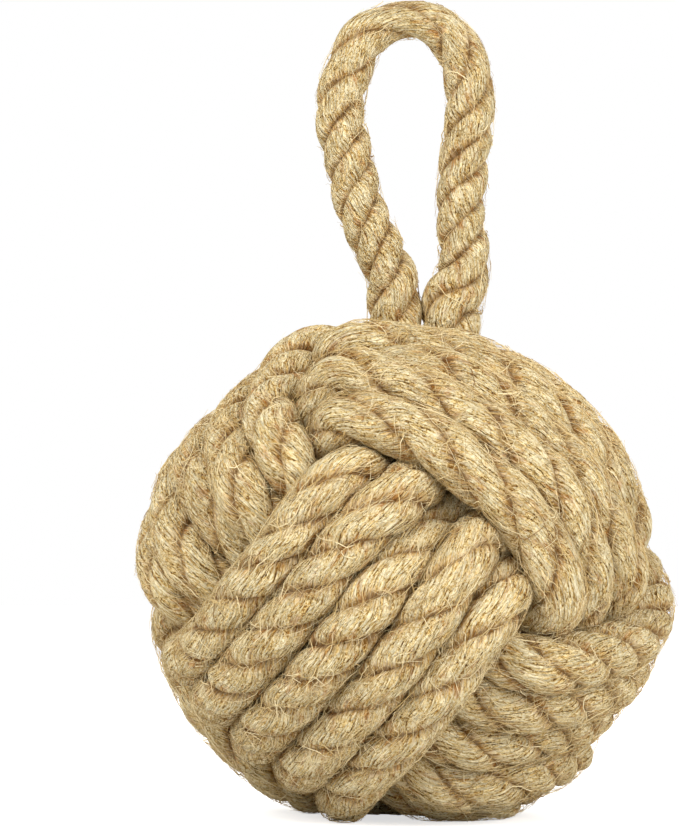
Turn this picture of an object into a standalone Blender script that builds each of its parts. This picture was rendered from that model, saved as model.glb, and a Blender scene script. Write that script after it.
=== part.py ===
"""Rope knot doorstop: one rope woven in three sets of turns round a heavy ball.

The knot stands on a flat pressed into its lowest turns, and the rope's handle
loop stands up from the corner opposite. Units are metres, +Z is up and the
camera of the photograph looks along +Y. The origin is the middle of the
object's box on the surface that it stands on.
"""
import math

import bpy
import numpy as np

MM = 0.001

# The rope and the weight that it goes round
ROPE_DIAMETER = 16.0 * MM
WEIGHT_DIAMETER = 90.0 * MM
SEAT_GAP = 0.3 * MM          # between any two solids that touch
TURN_GAP = 0.55 * MM         # between a turn and the turn beside it
FOOT_SHARE = 0.1             # depth of the foot's flat, in ropes

# How the knot is wound: whole and part turns of each of the three sets
FIRST_TURNS = 5.0
SECOND_TURNS = 5.25
THIRD_TURNS = 5.5
TURN_POINTS = 24
SET_SPREAD = 2.15            # half the width of a set at the start, in ropes
FAR_SPREAD = 2.7             # the far side of the second and the third set
FOOT_DROP = 1.0 * MM         # from the second layer's outside down to the floor

# Where each set starts, in degrees round its own plane: at the corner under the handle,
# at the one behind on the left and at the one in the foot, so that no join shows
FIRST_START = -45.0
SECOND_START = 225.0
THIRD_START = 225.0

# Where the middles of three woven faces look: left, top and front
LEFT_FACE = (-0.829, -0.054, 0.556)
TOP_FACE = (0.490, -0.548, 0.678)
FRONT_FACE = (-0.268, -0.835, -0.481)

# The handle: its legs leave the knot's upper corner, and its plane faces the front
LEG_GAP = 2.5 * MM
LEGS_BESIDE_MIDDLE = 6.6 * MM
LEGS_BEHIND_MIDDLE = 12.0 * MM
ROOT_RISE = 10.0 * MM        # from the second layer's outside to the roots' tops
HANDLE_STEP = 7.0 * MM

# The handle's own shape, beside the middle of its legs and above its pivot
HANDLE_ROUTE = (
    (-11.6 * MM, 6.0 * MM),
    (-16.2 * MM, 15.5 * MM),
    (-20.8 * MM, 25.6 * MM),
    (-24.4 * MM, 41.8 * MM),
    (-27.3 * MM, 57.9 * MM),
    (-23.1 * MM, 74.2 * MM),
    (-15.7 * MM, 81.6 * MM),
    (-4.3 * MM, 83.5 * MM),
    (8.0 * MM, 80.6 * MM),
    (14.4 * MM, 70.9 * MM),
    (15.7 * MM, 57.9 * MM),
    (13.8 * MM, 41.8 * MM),
    (11.8 * MM, 25.6 * MM),
    (12.1 * MM, 15.5 * MM),
    (10.9 * MM, 6.0 * MM),
)

# How the wound rope is drawn tight
START_SWELL = 1.3            # size at the start, with the tight knot as 1
DRAW_STAGES = 10             # steps in which the roots come down
STAGE_STEPS = 30
EASE_STEPS = 500
CLEAR_STEPS = 120
PART_STEPS = 30
DRAW_PULL = (0.3, 0.3)       # share of each bend that one step takes out
EASE_PULL = (0.06, 0.003)
CLEAR_PULL = (0.004, 0.004)
PART_PULL = (0.0, 0.0)
EASE_PRESS = 0.4             # share of what stands out that one step presses in
CLEAR_PRESS = 0.05
WORKING_GAP = 0.4 * MM       # kept between turns while they are drawn tight
CLEAR_MARGIN = 0.2 * MM      # what is added to the gap in the last steps
SHELL_ROPES = 2.0            # thickest that the turns may lie, in ropes
NEIGHBOUR_ROPES = 2.2        # pieces nearer along the rope than this may touch
PUSH_PASSES = 9
ROOT_POINTS = 3
SHARPEST_BEND = math.radians(44.0)

KNOT_BEVEL_STEPS = 1
HANDLE_BEVEL_STEPS = 3
DOME_ANGLES = (78.0, 55.0, 28.0)
WEIGHT_SEGMENTS = 32
WEIGHT_RINGS = 16

JUTE = (0.56, 0.43, 0.25, 1.0)
CONCRETE = (0.42, 0.41, 0.39, 1.0)

ROPE_RADIUS = ROPE_DIAMETER / 2
WEIGHT_RADIUS = WEIGHT_DIAMETER / 2
INNER_LAYER = WEIGHT_RADIUS + SEAT_GAP + ROPE_RADIUS
MIDDLE_LAYER = WEIGHT_RADIUS + ROPE_DIAMETER
OUTSIDE = WEIGHT_RADIUS + 2 * ROPE_DIAMETER
MIDDLE_HEIGHT = OUTSIDE + FOOT_DROP
FOOT_DEPTH = MIDDLE_HEIGHT + FOOT_SHARE * ROPE_DIAMETER
LEG_SPACING = ROPE_DIAMETER + LEG_GAP
ROOT_HEIGHT = OUTSIDE + ROOT_RISE
DOME_DROP = ROPE_RADIUS * math.sin(math.radians(DOME_ANGLES[0]))
PIVOT_HEIGHT = ROOT_HEIGHT + SEAT_GAP + DOME_DROP


def clear_scene():
    """Remove every object that the file holds."""
    for item in list(bpy.data.objects):
        bpy.data.objects.remove(item, do_unlink=True)


def square_axes(*directions):
    """The three directions turned as little as possible until they are square."""
    left, _, right = np.linalg.svd(np.array(directions))
    return left @ right


def winding(over, under, along, start, turns, first_side, last_side):
    """One set of turns, swollen: outside where it runs over, inside under."""
    count = int(round(turns * TURN_POINTS)) + 1
    angle = math.radians(start) + np.arange(count) * 2 * math.pi / TURN_POINTS
    side = np.linspace(first_side, last_side, count) * ROPE_DIAMETER / MIDDLE_LAYER
    radius = START_SWELL * (MIDDLE_LAYER + ROPE_RADIUS * np.cos(2 * angle))
    ring = radius * np.cos(side)
    return (np.outer(ring * np.cos(angle), over)
            + np.outer(ring * np.sin(angle), under)
            + np.outer(radius * np.sin(side), along))


def leg_root(side):
    """The straight top of a leg's root, one rope diameter long, top first."""
    across = LEGS_BESIDE_MIDDLE + side * LEG_SPACING / 2
    drop = np.linspace(0, ROPE_DIAMETER, ROOT_POINTS)
    root = np.zeros((ROOT_POINTS, 3))
    root[:, 0] = across
    root[:, 1] = LEGS_BEHIND_MIDDLE
    root[:, 2] = ROOT_HEIGHT - drop
    return root


def starting_route():
    """The whole rope before it is drawn tight, and where its sets join."""
    left, top, front = square_axes(LEFT_FACE, TOP_FACE, FRONT_FACE)
    first = winding(left, front, top, FIRST_START, FIRST_TURNS, SET_SPREAD, -SET_SPREAD)
    second = winding(front, top, left, SECOND_START, SECOND_TURNS, SET_SPREAD, -FAR_SPREAD)
    third = winding(top, left, front, THIRD_START, THIRD_TURNS, SET_SPREAD, -FAR_SPREAD)
    near_root = leg_root(-1)
    far_root = leg_root(1)[::-1]
    route = np.concatenate([near_root, first, second, third, far_root])
    first_join = len(near_root) + len(first)
    return route, (first_join, first_join + len(second))


def nearest_shares(start_a, end_a, start_b, end_b):
    """How far along each of two straight pieces their nearest points lie."""
    run_a = end_a - start_a
    run_b = end_b - start_b
    apart = start_a - start_b
    aa = (run_a * run_a).sum(1)
    ab = (run_a * run_b).sum(1)
    bb = (run_b * run_b).sum(1)
    ad = (run_a * apart).sum(1)
    bd = (run_b * apart).sum(1)
    spread = aa * bb - ab * ab
    square = spread > 1e-9 * aa * bb
    share = np.where(square, (ab * bd - bb * ad) / np.where(square, spread, 1.0), 0.5)
    share_a = np.clip(share, 0, 1)
    share_b = np.clip((ab * share_a + bd) / bb, 0, 1)
    share_a = np.clip((ab * share_b - ad) / aa, 0, 1)
    return share_a, share_b


def near_pairs(route):
    """Pairs of the rope's straight pieces that could touch, neighbours left out."""
    step = np.linalg.norm(np.diff(route, axis=0), axis=1).mean()
    skip = max(3, int(math.ceil(NEIGHBOUR_ROPES * ROPE_DIAMETER / step)))
    middle = (route[1:] + route[:-1]) / 2
    square = ((middle[:, None] - middle[None]) ** 2).sum(2)
    reach = 1.5 * ROPE_DIAMETER + 1.2 * step
    return np.nonzero(np.triu(square < reach * reach, skip))


def least_gap(route):
    """The smallest gap between the rope's surface and itself."""
    one, other = near_pairs(route)
    share, share_other = nearest_shares(route[one], route[one + 1], route[other], route[other + 1])
    point = route[one] + (route[one + 1] - route[one]) * share[:, None]
    point_other = route[other] + (route[other + 1] - route[other]) * share_other[:, None]
    return np.linalg.norm(point - point_other, axis=1).min() - ROPE_DIAMETER


def part_turns(route, free, one, other, least):
    """Push apart the pieces of rope that lie nearer than least, in place."""
    share, share_other = nearest_shares(route[one], route[one + 1], route[other], route[other + 1])
    point = route[one] + (route[one + 1] - route[one]) * share[:, None]
    point_other = route[other] + (route[other + 1] - route[other]) * share_other[:, None]
    line = point - point_other
    length = np.maximum(np.sqrt((line * line).sum(1)), 1e-6)
    near = length < least
    one, other, share, share_other = one[near], other[near], share[near], share_other[near]
    line, length = line[near], length[near]
    weight = np.stack([(1 - share) * free[one], share * free[one + 1],
                       -(1 - share_other) * free[other], -share_other * free[other + 1]])
    reach = np.stack([1 - share, share, -(1 - share_other), -share_other])
    push = 0.5 * (least - length) / length / np.maximum((weight * reach).sum(0), 1e-6)
    index = np.concatenate([one, one + 1, other, other + 1])
    for axis in range(3):
        amount = (weight * push * line[:, axis]).ravel()
        route[:, axis] += np.bincount(index, amount, len(route))


def seat_turns(route, free):
    """Push every piece of rope out of the weight, in place."""
    run = route[1:] - route[:-1]
    share = np.clip(-(route[:-1] * run).sum(1) / (run * run).sum(1), 0, 1)
    point = route[:-1] + run * share[:, None]
    radius = np.linalg.norm(point, axis=1)
    push = np.maximum(INNER_LAYER - radius, 0)[:, None] * point / radius[:, None]
    route[:-1] += push * (1 - share[:, None]) * free[:-1, None]
    route[1:] += push * share[:, None] * free[1:, None]


def ease_bends(route, free):
    """Open every bend that is sharper than the rope allows, in place."""
    before = route[1:-1] - route[:-2]
    after = route[2:] - route[1:-1]
    cosine = (before * after).sum(1) / (np.linalg.norm(before, axis=1) * np.linalg.norm(after, axis=1))
    sharp = np.clip(math.cos(SHARPEST_BEND) - cosine, 0, 0.5)
    shift = ((route[:-2] + route[2:]) / 2 - route[1:-1]) * sharp[:, None]
    route[1:-1] += shift * free[1:-1, None]
    route[:-2] -= shift * 0.5 * free[:-2, None]
    route[2:] -= shift * 0.5 * free[2:, None]


def straighten(route, joins):
    """Bring the points beside each join into line with it, in place."""
    for join in joins:
        shift = (route[join - 1] + route[join + 1]) / 2 - route[join]
        route[join] += shift * 2 / 3
        route[join - 1] -= shift / 3
        route[join + 1] -= shift / 3


def settle(route, free, joins, steps, pulls, least, floor, press):
    """Draw the rope tight in small steps while it keeps off itself and the weight."""
    pull = np.linspace(pulls[0], pulls[1], steps)
    shell = WEIGHT_RADIUS + SHELL_ROPES * ROPE_DIAMETER
    inner = np.zeros(len(route), bool)
    inner[ROOT_POINTS + 1:-ROOT_POINTS - 1] = True
    for step in range(steps):
        if step % 20 == 0:
            one, other = near_pairs(route)
        draw = (route[:-2] + route[2:]) / 2 - route[1:-1]
        route[1:-1] += pull[step] * draw * free[1:-1, None]
        ease_bends(route, free)
        radius = np.linalg.norm(route, axis=1)
        out = inner & (radius > shell)
        route[out] *= (1 - press * (radius[out] - shell) / radius[out])[:, None]
        for _ in range(PUSH_PASSES):
            part_turns(route, free, one, other, least)
            seat_turns(route, free)
            straighten(route, joins)
            if floor:
                under = (route[:, 2] < -floor) & (free > 0)
                route[under, 2] = -floor


def knot_route():
    """The rope's route through the tight knot, and where its sets join."""
    route, joins = starting_route()
    free = np.ones(len(route))
    ends = (slice(0, ROOT_POINTS), slice(-ROOT_POINTS, None))
    for end in ends:
        free[end] = 0
    roots = route.copy()
    touch = ROPE_DIAMETER + WORKING_GAP
    for stage in range(DRAW_STAGES):
        lift = (START_SWELL - 1) * (MIDDLE_LAYER + ROPE_DIAMETER) * (1 - (stage + 1) / DRAW_STAGES)
        for end in ends:
            route[end] = roots[end] + [0, 0, lift]
        settle(route, free, joins, STAGE_STEPS, DRAW_PULL, touch, 0, 0)
    floor = FOOT_DEPTH - ROPE_RADIUS
    settle(route, free, joins, EASE_STEPS, EASE_PULL, touch, floor, EASE_PRESS)
    clear = ROPE_DIAMETER + TURN_GAP + CLEAR_MARGIN
    settle(route, free, joins, CLEAR_STEPS, CLEAR_PULL, clear, floor, CLEAR_PRESS)
    settle(route, free, joins, PART_STEPS, PART_PULL, clear, floor, 0)
    return route, joins


def smooth_through(points, step):
    """Evenly spaced points on a smooth curve through the given ones."""
    points = np.array(points)
    held = np.concatenate([2 * points[:1] - points[1:2], points, 2 * points[-1:] - points[-2:-1]])
    share = np.linspace(0, 1, 12, endpoint=False)[:, None]
    runs = []
    for first in range(len(points) - 1):
        a, b, c, d = held[first:first + 4]
        runs.append(b + 0.5 * share * (c - a + share * (2 * a - 5 * b + 4 * c - d
                                                        + share * (3 * (b - c) + d - a))))
    fine = np.concatenate(runs + [points[-1:]])
    length = np.concatenate([[0], np.cumsum(np.linalg.norm(np.diff(fine, axis=0), axis=1))])
    count = int(round(length[-1] / step)) + 1
    even = np.linspace(0, length[-1], count)
    return np.stack([np.interp(even, length, fine[:, axis]) for axis in range(fine.shape[1])], 1)


def handle_route():
    """The handle's centre line from its pivot, with a dome at each leg's end."""
    foot = [(-LEG_SPACING / 2, 0.0)]
    other_foot = [(LEG_SPACING / 2, 0.0)]
    line = smooth_through(foot + list(HANDLE_ROUTE) + other_foot, HANDLE_STEP)
    dome = np.radians(DOME_ANGLES)
    ends = []
    for side in (-1, 1):
        end = np.zeros((len(dome), 2))
        end[:, 0] = side * LEG_SPACING / 2
        end[:, 1] = -ROPE_RADIUS * np.sin(dome)
        ends.append(end)
    flat = np.concatenate([ends[0], line, ends[1][::-1]])
    route = np.zeros((len(flat), 3))
    route[:, 0] = flat[:, 0]
    route[:, 2] = flat[:, 1]
    width = np.ones(len(flat))
    width[:len(dome)] = np.cos(dome)
    width[-len(dome):] = np.cos(dome)[::-1]
    return route, width


def surface(name, colour, roughness):
    """A plain finish in one colour."""
    material = bpy.data.materials.new(name)
    material.use_nodes = True
    shader = material.node_tree.nodes["Principled BSDF"]
    shader.inputs["Base Color"].default_value = colour
    shader.inputs["Roughness"].default_value = roughness
    shader.inputs["Metallic"].default_value = 0.0
    material.diffuse_color = colour
    return material


def rope_curve(name, route, width, resolution):
    """A round tube along a route, with filled ends."""
    curve = bpy.data.curves.new(name, "CURVE")
    curve.dimensions = "3D"
    curve.bevel_depth = ROPE_RADIUS
    curve.bevel_resolution = resolution
    curve.use_fill_caps = True
    spline = curve.splines.new("POLY")
    spline.points.add(len(route) - 1)
    for point, place, share in zip(spline.points, route, width):
        point.co = (place[0], place[1], place[2], 1.0)
        point.radius = share
    item = bpy.data.objects.new(name, curve)
    bpy.context.collection.objects.link(item)
    return item


def turns(name, route, cutter):
    """One set of turns as a solid, cut flat where the knot stands."""
    guide = rope_curve(name + "_guide", route, np.ones(len(route)), KNOT_BEVEL_STEPS)
    bpy.context.view_layer.update()
    shape = guide.evaluated_get(bpy.context.evaluated_depsgraph_get())
    mesh = bpy.data.meshes.new_from_object(shape)
    bpy.data.objects.remove(guide, do_unlink=True)
    item = bpy.data.objects.new(name, mesh)
    bpy.context.collection.objects.link(item)
    mesh.materials.clear()
    mesh.materials.append(surface(name + "_jute", JUTE, 0.9))
    if route[:, 2].min() - ROPE_RADIUS < cutter.location.z + cutter.dimensions.z / 2:
        cut = item.modifiers.new("foot_flat", "BOOLEAN")
        cut.operation = "DIFFERENCE"
        cut.solver = "EXACT"
        cut.object = cutter
    return item


def floor_cutter():
    """The block under the knot that takes the flat off its lowest turns."""
    side = 3 * (WEIGHT_DIAMETER + 4 * ROPE_DIAMETER)
    depth = 4 * ROPE_DIAMETER
    bpy.ops.mesh.primitive_cube_add(size=1.0)
    cutter = bpy.context.active_object
    cutter.name = "floor_cutter"
    cutter.scale = (side, side, depth)
    cutter.location = (0.0, 0.0, -MIDDLE_HEIGHT - depth / 2)
    cutter.hide_render = True
    cutter.display_type = "WIRE"
    bpy.context.view_layer.update()
    return cutter


def weight_ball():
    """The heavy ball in the middle, which the turns hide."""
    bpy.ops.mesh.primitive_uv_sphere_add(segments=WEIGHT_SEGMENTS, ring_count=WEIGHT_RINGS, radius=WEIGHT_RADIUS)
    ball = bpy.context.active_object
    ball.name = "weight_ball"
    ball.data.name = "weight_ball"
    ball.data.shade_smooth()
    ball.data.materials.append(surface("weight_ball_concrete", CONCRETE, 0.85))
    return ball


def handle_loop():
    """The loop of rope that stands up, with its origin on its pivot."""
    route, width = handle_route()
    loop = rope_curve("handle_loop", route, width, HANDLE_BEVEL_STEPS)
    loop.data.materials.append(surface("handle_loop_jute", JUTE, 0.9))
    loop.location = (LEGS_BESIDE_MIDDLE, LEGS_BEHIND_MIDDLE, PIVOT_HEIGHT)
    return loop


def split_route(route, joins):
    """The rope in its three sets, each end half a gap short of the join."""
    pieces = []
    edges = (0,) + tuple(joins) + (len(route) - 1,)
    for first, last in zip(edges[:-1], edges[1:]):
        piece = route[first:last + 1].copy()
        if first:
            way = (piece[1] - piece[0]) / np.linalg.norm(piece[1] - piece[0])
            piece[0] += way * SEAT_GAP / 2
        if last < len(route) - 1:
            way = (piece[-2] - piece[-1]) / np.linalg.norm(piece[-2] - piece[-1])
            piece[-1] += way * SEAT_GAP / 2
        pieces.append(piece)
    return pieces


def stand_on_origin(items):
    """Move the solids so that the middle of their box's foot is the origin."""
    bpy.context.view_layer.update()
    depsgraph = bpy.context.evaluated_depsgraph_get()
    places = []
    for item in items:
        shape = item.evaluated_get(depsgraph)
        mesh = shape.to_mesh()
        places += [shape.matrix_world @ vertex.co for vertex in mesh.vertices]
        shape.to_mesh_clear()
    places = np.array(places)
    low = places.min(0)
    high = places.max(0)
    shift = (-(low[0] + high[0]) / 2, -(low[1] + high[1]) / 2, MIDDLE_HEIGHT)
    return shift, high - low


def main():
    clear_scene()
    route, joins = knot_route()
    gap = least_gap(route)
    print("least gap between the rope and itself, mm:", round(gap / MM, 3))
    length = np.linalg.norm(np.diff(route, axis=0), axis=1).sum()
    print("rope in the knot, mm:", round(length / MM))
    cutter = floor_cutter()
    names = ("first_turns", "second_turns", "third_turns")
    items = [turns(name, piece, cutter) for name, piece in zip(names, split_route(route, joins))]
    items.append(weight_ball())
    items.append(handle_loop())
    shift, size = stand_on_origin(items)
    for item in items + [cutter]:
        item.location = [place + move for place, move in zip(item.location, shift)]
    bpy.context.view_layer.update()
    print("box, mm:", [round(side / MM, 2) for side in size])
    print("pivot, mm:", [round(place / MM, 3) for place in items[-1].location])
    print("weight's middle, mm:", [round(place / MM, 3) for place in items[-2].location])


main()
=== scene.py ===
import math

import bpy
import numpy as np
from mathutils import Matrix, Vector


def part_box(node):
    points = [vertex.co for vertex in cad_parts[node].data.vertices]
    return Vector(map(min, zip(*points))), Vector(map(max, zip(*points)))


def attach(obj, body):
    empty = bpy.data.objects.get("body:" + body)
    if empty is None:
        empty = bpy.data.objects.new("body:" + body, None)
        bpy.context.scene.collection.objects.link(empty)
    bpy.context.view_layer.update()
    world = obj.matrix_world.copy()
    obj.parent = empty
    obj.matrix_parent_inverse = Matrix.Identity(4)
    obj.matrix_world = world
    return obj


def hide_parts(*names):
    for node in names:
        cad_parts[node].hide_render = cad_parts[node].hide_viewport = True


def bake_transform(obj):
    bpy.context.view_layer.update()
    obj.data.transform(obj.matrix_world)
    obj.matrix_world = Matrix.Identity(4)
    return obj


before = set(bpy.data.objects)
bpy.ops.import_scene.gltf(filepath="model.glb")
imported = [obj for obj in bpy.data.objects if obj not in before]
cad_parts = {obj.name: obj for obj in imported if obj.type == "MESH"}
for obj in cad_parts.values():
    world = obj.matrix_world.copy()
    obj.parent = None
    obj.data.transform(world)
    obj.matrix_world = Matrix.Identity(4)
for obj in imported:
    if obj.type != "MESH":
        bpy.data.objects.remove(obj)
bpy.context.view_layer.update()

MM = 0.001
CENTIMETRE = 10.0 * MM

# The rope, the weight and how the knot is wound, with the solid model's values. Only
# HANDLE_ROUTE is up to 4 mm off the solid's, nearer to the photograph
ROPE_DIAMETER = 16.0 * MM
WEIGHT_DIAMETER = 90.0 * MM
SEAT_GAP = 0.3 * MM
TURN_GAP = 0.55 * MM
FOOT_SHARE = 0.1
FIRST_TURNS, SECOND_TURNS, THIRD_TURNS = 5.0, 5.25, 5.5
TURN_POINTS = 24
SET_SPREAD, FAR_SPREAD = 2.15, 2.7
FOOT_DROP = 1.0 * MM
FIRST_START, SECOND_START, THIRD_START = -45.0, 225.0, 225.0
LEFT_FACE = (-0.829, -0.054, 0.556)
TOP_FACE = (0.490, -0.548, 0.678)
FRONT_FACE = (-0.268, -0.835, -0.481)
LEG_GAP = 2.5 * MM
LEGS_BESIDE_MIDDLE = 6.6 * MM
LEGS_BEHIND_MIDDLE = 12.0 * MM
ROOT_RISE = 10.0 * MM
HANDLE_ROUTE = [(across * MM, up * MM) for across, up in (
    (-12.0, 6.0), (-16.2, 15.5), (-20.8, 25.6), (-24.4, 41.8), (-27.3, 57.9), (-23.1, 74.2),
    (-16.0, 84.2), (-4.3, 87.4), (8.0, 83.2), (14.4, 70.9), (15.7, 57.9), (13.8, 41.8),
    (12.4, 25.6), (12.9, 15.5), (13.6, 6.0))]
START_SWELL = 1.3
DRAW_STAGES = 10
STAGE_STEPS, EASE_STEPS, CLEAR_STEPS, PART_STEPS = 30, 500, 120, 30
DRAW_PULL, EASE_PULL = (0.3, 0.3), (0.06, 0.003)
CLEAR_PULL, PART_PULL = (0.004, 0.004), (0.0, 0.0)
EASE_PRESS, CLEAR_PRESS = 0.4, 0.05
WORKING_GAP = 0.4 * MM
CLEAR_MARGIN = 0.2 * MM
SHELL_ROPES, NEIGHBOUR_ROPES = 2.0, 2.2
PUSH_PASSES = 9
ROOT_POINTS = 3
SHARPEST_BEND = math.radians(44.0)
DOME_SINE = math.sin(math.radians(78.0))
FIND_STEPS = 20  # steps between two looks for near pieces
PAIR_ROPES, PAIR_STEPS = 1.5, 1.2  # near is within so many ropes plus steps
LEAST_SKIP = 3  # fewest steps along the rope between near pieces
MOST_EASE = 0.5  # most of a sharp bend that one step opens
PARALLEL = 1e-9
LEAST, LEAST_NORM = 1e-6, 1e-12  # keep divisors off zero

# How the tight route is smoothed and brought nearer to the photograph's
CURVE_SHARES = 12  # points on a curve from one given point to the next
RING_STEP, FINE_STEP = 1.5 * MM, 5.0 * MM
SMOOTH_STEPS, SMOOTH_SHARE = 90, 0.05
SOFT_FIND_STEPS, SOFT_PASSES = 30, 2
TOUCH = 15.2 * MM  # between the middles of turns that press on each other
ROUND_REACH = 76.0 * MM  # beyond this the turns are drawn in
DRAW_IN = 0.25  # by this share in each step
TOP_DROP = 3.5 * MM  # how much less the reach is on top
TOP_WAY = (0.26, 0.0, 0.966)
TOP_FADE = 6  # the power of the cosine by which this fades
SHOULDER_DROP = 2.5 * MM  # and at the upper right
SHOULDER = (0.77, 0.0, 0.64)
SHOULDER_FADE = 4
BULGES = [(degrees, rise * MM) for degrees, rise in (  # round the outline, from the right
    (10.0, -3.0), (100.0, -3.0), (107.0, 7.0), (122.0, -2.0), (133.0, -3.0), (180.0, 2.0),
    (192.0, -1.5), (322.0, 2.0), (352.0, 2.4), (359.0, 2.0))]
BULGE_SHARPNESS, BULGE_DEPTH = 40, 3  # the powers by which a bulge fades
LEFT_FOOT, RIGHT_FOOT = -9.7 * MM, 12.2 * MM  # where the loop's legs stand
LEG_REACH = 46.0 * MM  # how far the loop runs down into the knot
BEND_REACH = 15.0 * MM  # above and below the pivot
HALF_TURN_RINGS = 140  # round a set's middle, where it may part

# The rope's own form
STRANDS = 3
FULL_RADIUS = 9.1 * MM  # over the strands' crests, in the knot
LOOP_RADIUS = 8.3 * MM  # the same in the loop
CREST_FALL = 0.205  # how a strand's section falls from its crest
GROOVE_FALL = 0.09  # and what is added towards the groove
STRAND_MIDDLE = 0.50  # how far out a strand's own middle lies, in radii
STRAND_POINTS = 30
OUTLINE_POINTS = 601  # before those are spaced evenly
LOOP_GROOVES = -0.1  # how much deeper the grooves are in the loop
LEG_SWELL = 1.4 * MM  # how much thicker the right leg's foot is
LEG_SWELL_REACH = 12.0 * MM
LEG_SWELL_DROP = 6.0 * MM  # how far below the pivot it is thickest
TOP_THIN = 0.24  # how much thinner the loop's top is
TOP_THIN_REACH = 15.0 * MM

# How the strands and their yarns wind
LAY_IN_KNOT = 3.1  # ropes' widths in one turn of the strands
LAY_IN_LOOP = 2.3
LAY_DRIFT = 0.15  # share by which the lay varies
LAY_DRIFT_RUN = 90.0 * MM  # over this length
TOP_BAND = (0.52, -0.58, 0.62)
BAND_OPENING = 0.25  # how much longer the lay is over the band to that side
BAND_EDGE = 0.45  # the cosine at which this begins
BAND_FADE = 0.35  # and how much further it is whole
TOP_OPENING = 0.9  # how much longer the lay is over the loop's top
TOP_OPENING_FADE = 5  # the power of the height by which that fades
YARN_LEAN = math.radians(2.0)
YARNS = 21  # round one strand
YARN_OFFSET = 61.0  # from one strand's yarn numbers to the next one's
CLOSING_REACH = 12.0 * MM  # of calm where the rope's end meets its start

# Ripples in the strands: height as a share of the radius, length along the rope, and
# width in yarns. The sway moves the grooves, in radians
SWELL_RISE, SWELL_RUN = 0.055, 17.0 * MM
LUMP_RISE, LUMP_RUN, LUMP_YARNS = 0.045, 11.0 * MM, 2.9
CORD_RISE, CORD_RUN, CORD_YARNS = 0.02, 7.0 * MM, 1.2
SWAY_TURN, SWAY_RUN = 0.16, 14.0 * MM
DRIFT_SEED, SWELL_SEED, LUMP_SEED, CORD_SEED, SWAY_SEED = 2.7, 3.1, 7.7, 5.3, 9.0
RIPPLE_ACROSS, RIPPLE_ALONG, RIPPLE_SINE = 12.9898, 78.233, 43758.5453

# Where the rope presses on itself and on the floor
PRESS_BLOCK = 500  # rings compared at one time
PRESS_GAP = 0.05 * MM
CREVICE_SHADE_REACH = 1.6 * MM  # how far the painted shade of a crevice spreads
FLOOR_EASE = 1.2 * MM

# The loose fibres
KNOT_FIBRES = 5000  # in each of four pieces
LOOP_FIBRES = 2600
FIBRE_POINTS, FIBRE_SIDES = 7, 3
FIBRE_TRIES = 8  # places drawn for each fibre; the first that fit are used
FIBRE_MARGIN = 20  # rings without fibres at the rope's two ends
FIBRE_SHAPE, FIBRE_SCALE = 2.5, 5.2 * MM  # of the gamma spread of lengths
FIBRE_SHORTEST, FIBRE_LONGEST = 3.0 * MM, 40.0 * MM
FIBRE_SLANT = (-0.1, 0.75)  # middle and spread, in radians from the rope's way
FIBRE_CURL = 1.5  # spread of the bend from one end to the other
FIBRE_WANDER = 0.3  # spread of the bend at each point
FIBRE_LIFT = 0.4 * MM  # how far the far end lifts off
MOST_LIFT = 3.0  # and at most, times that
FIBRE_HEIGHT = 0.15 * MM  # over the strands' crests
FIBRE_WAVER = 0.15 * MM
WAVER_LIMITS = (-0.1 * MM, 0.4 * MM)
FIBRE_ROOT = -0.5 * MM  # height of the end that sits in the rope
CREST_SHARE = 0.97  # of the radius, where a fibre lies over the grooves
CREST_BY = 3.0  # it is up there a third of the way along
FIBRE_FLOOR = 0.2 * MM
FIBRE_THIN, FIBRE_THICKER = 0.06 * MM, 0.16 * MM  # the thinnest, and what the thickest add
FIBRE_TAPER = 0.5  # how much thinner the far end is
SHOWN_RISE = 1.0 * MM  # over the middle layer, where the outside begins
SHOWN_OUT = 0.25  # least cosine of a spot's way out to the knot's
LOOP_FIBRES_DROP = 4.0 * MM  # below the roots, where the loop's fibres begin

# Colours and light
STRAW = ((0.0, (0.13, 0.052, 0.009, 1.0)), (1.0, (0.95, 0.825, 0.54, 1.0)),
         (0.30, (0.51, 0.300, 0.075, 1.0)), (0.62, (0.80, 0.605, 0.272, 1.0)))
LOOSE_STRAW = ((0.0, (0.30, 0.16, 0.05, 1.0)), (1.0, (0.98, 0.85, 0.54, 1.0)),
               (0.3, (0.68, 0.48, 0.19, 1.0)))
RUST = (0.48, 0.19, 0.04, 1.0)
# painted shade for the grooves and crevices: brown, and dark umber in the deepest
SHADE_TAN = (0.48, 0.215, 0.035, 1.0)
SHADE_UMBER = (0.15, 0.055, 0.008, 1.0)
CONCRETE_DARK = (0.16, 0.15, 0.14, 1.0)
CONCRETE_PALE = (0.34, 0.33, 0.31, 1.0)

# The jute's patterns, each a noise: how many there are to a yarn and to a centimetre of
# rope, the slant in yarns to a centimetre, the noise's layer, scale, detail and roughness
PATTERNS = {
    "drift": (0.55, 0.8, 0.0, 0.0, 1.0, 2.0, 0.6),
    "clear": (0.4, 1.1, 0.0, 7.0, 1.0, 2.0, 0.5),
    "own": (0.37, 0.6, 0.0, 0.0, 3.0, 2.0, 0.5),
    "fine": (4.2, 1.3, 0.0, 3.0, 1.0, 1.0, 0.6),
    "streak": (3.0, 1.6, 1.5, 11.0, 1.0, 2.0, 0.6),
    "felt": (1.0, 1.1, 0.6, 40.0, 1.0, 1.0, 0.5),
    "cross_felt": (0.9, 1.3, -0.9, 50.0, 1.0, 1.0, 0.5),
    "under": (0.6, 2.6, -0.5, 60.0, 1.0, 1.0, 0.5),
    "fuzz": (3.0, 12.0, -2.0, 80.0, 1.0, 2.0, 0.7),
    "patch": (0.4, 1.2, 0.0, 20.0, 1.0, 3.0, 0.65),
    "speck": (1.3, 2.6, 0.0, 31.0, 1.0, 2.0, 0.6),
    "spread": (0.15, 0.9, 0.0, 90.0, 1.0, 2.0, 0.5),
}
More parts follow.
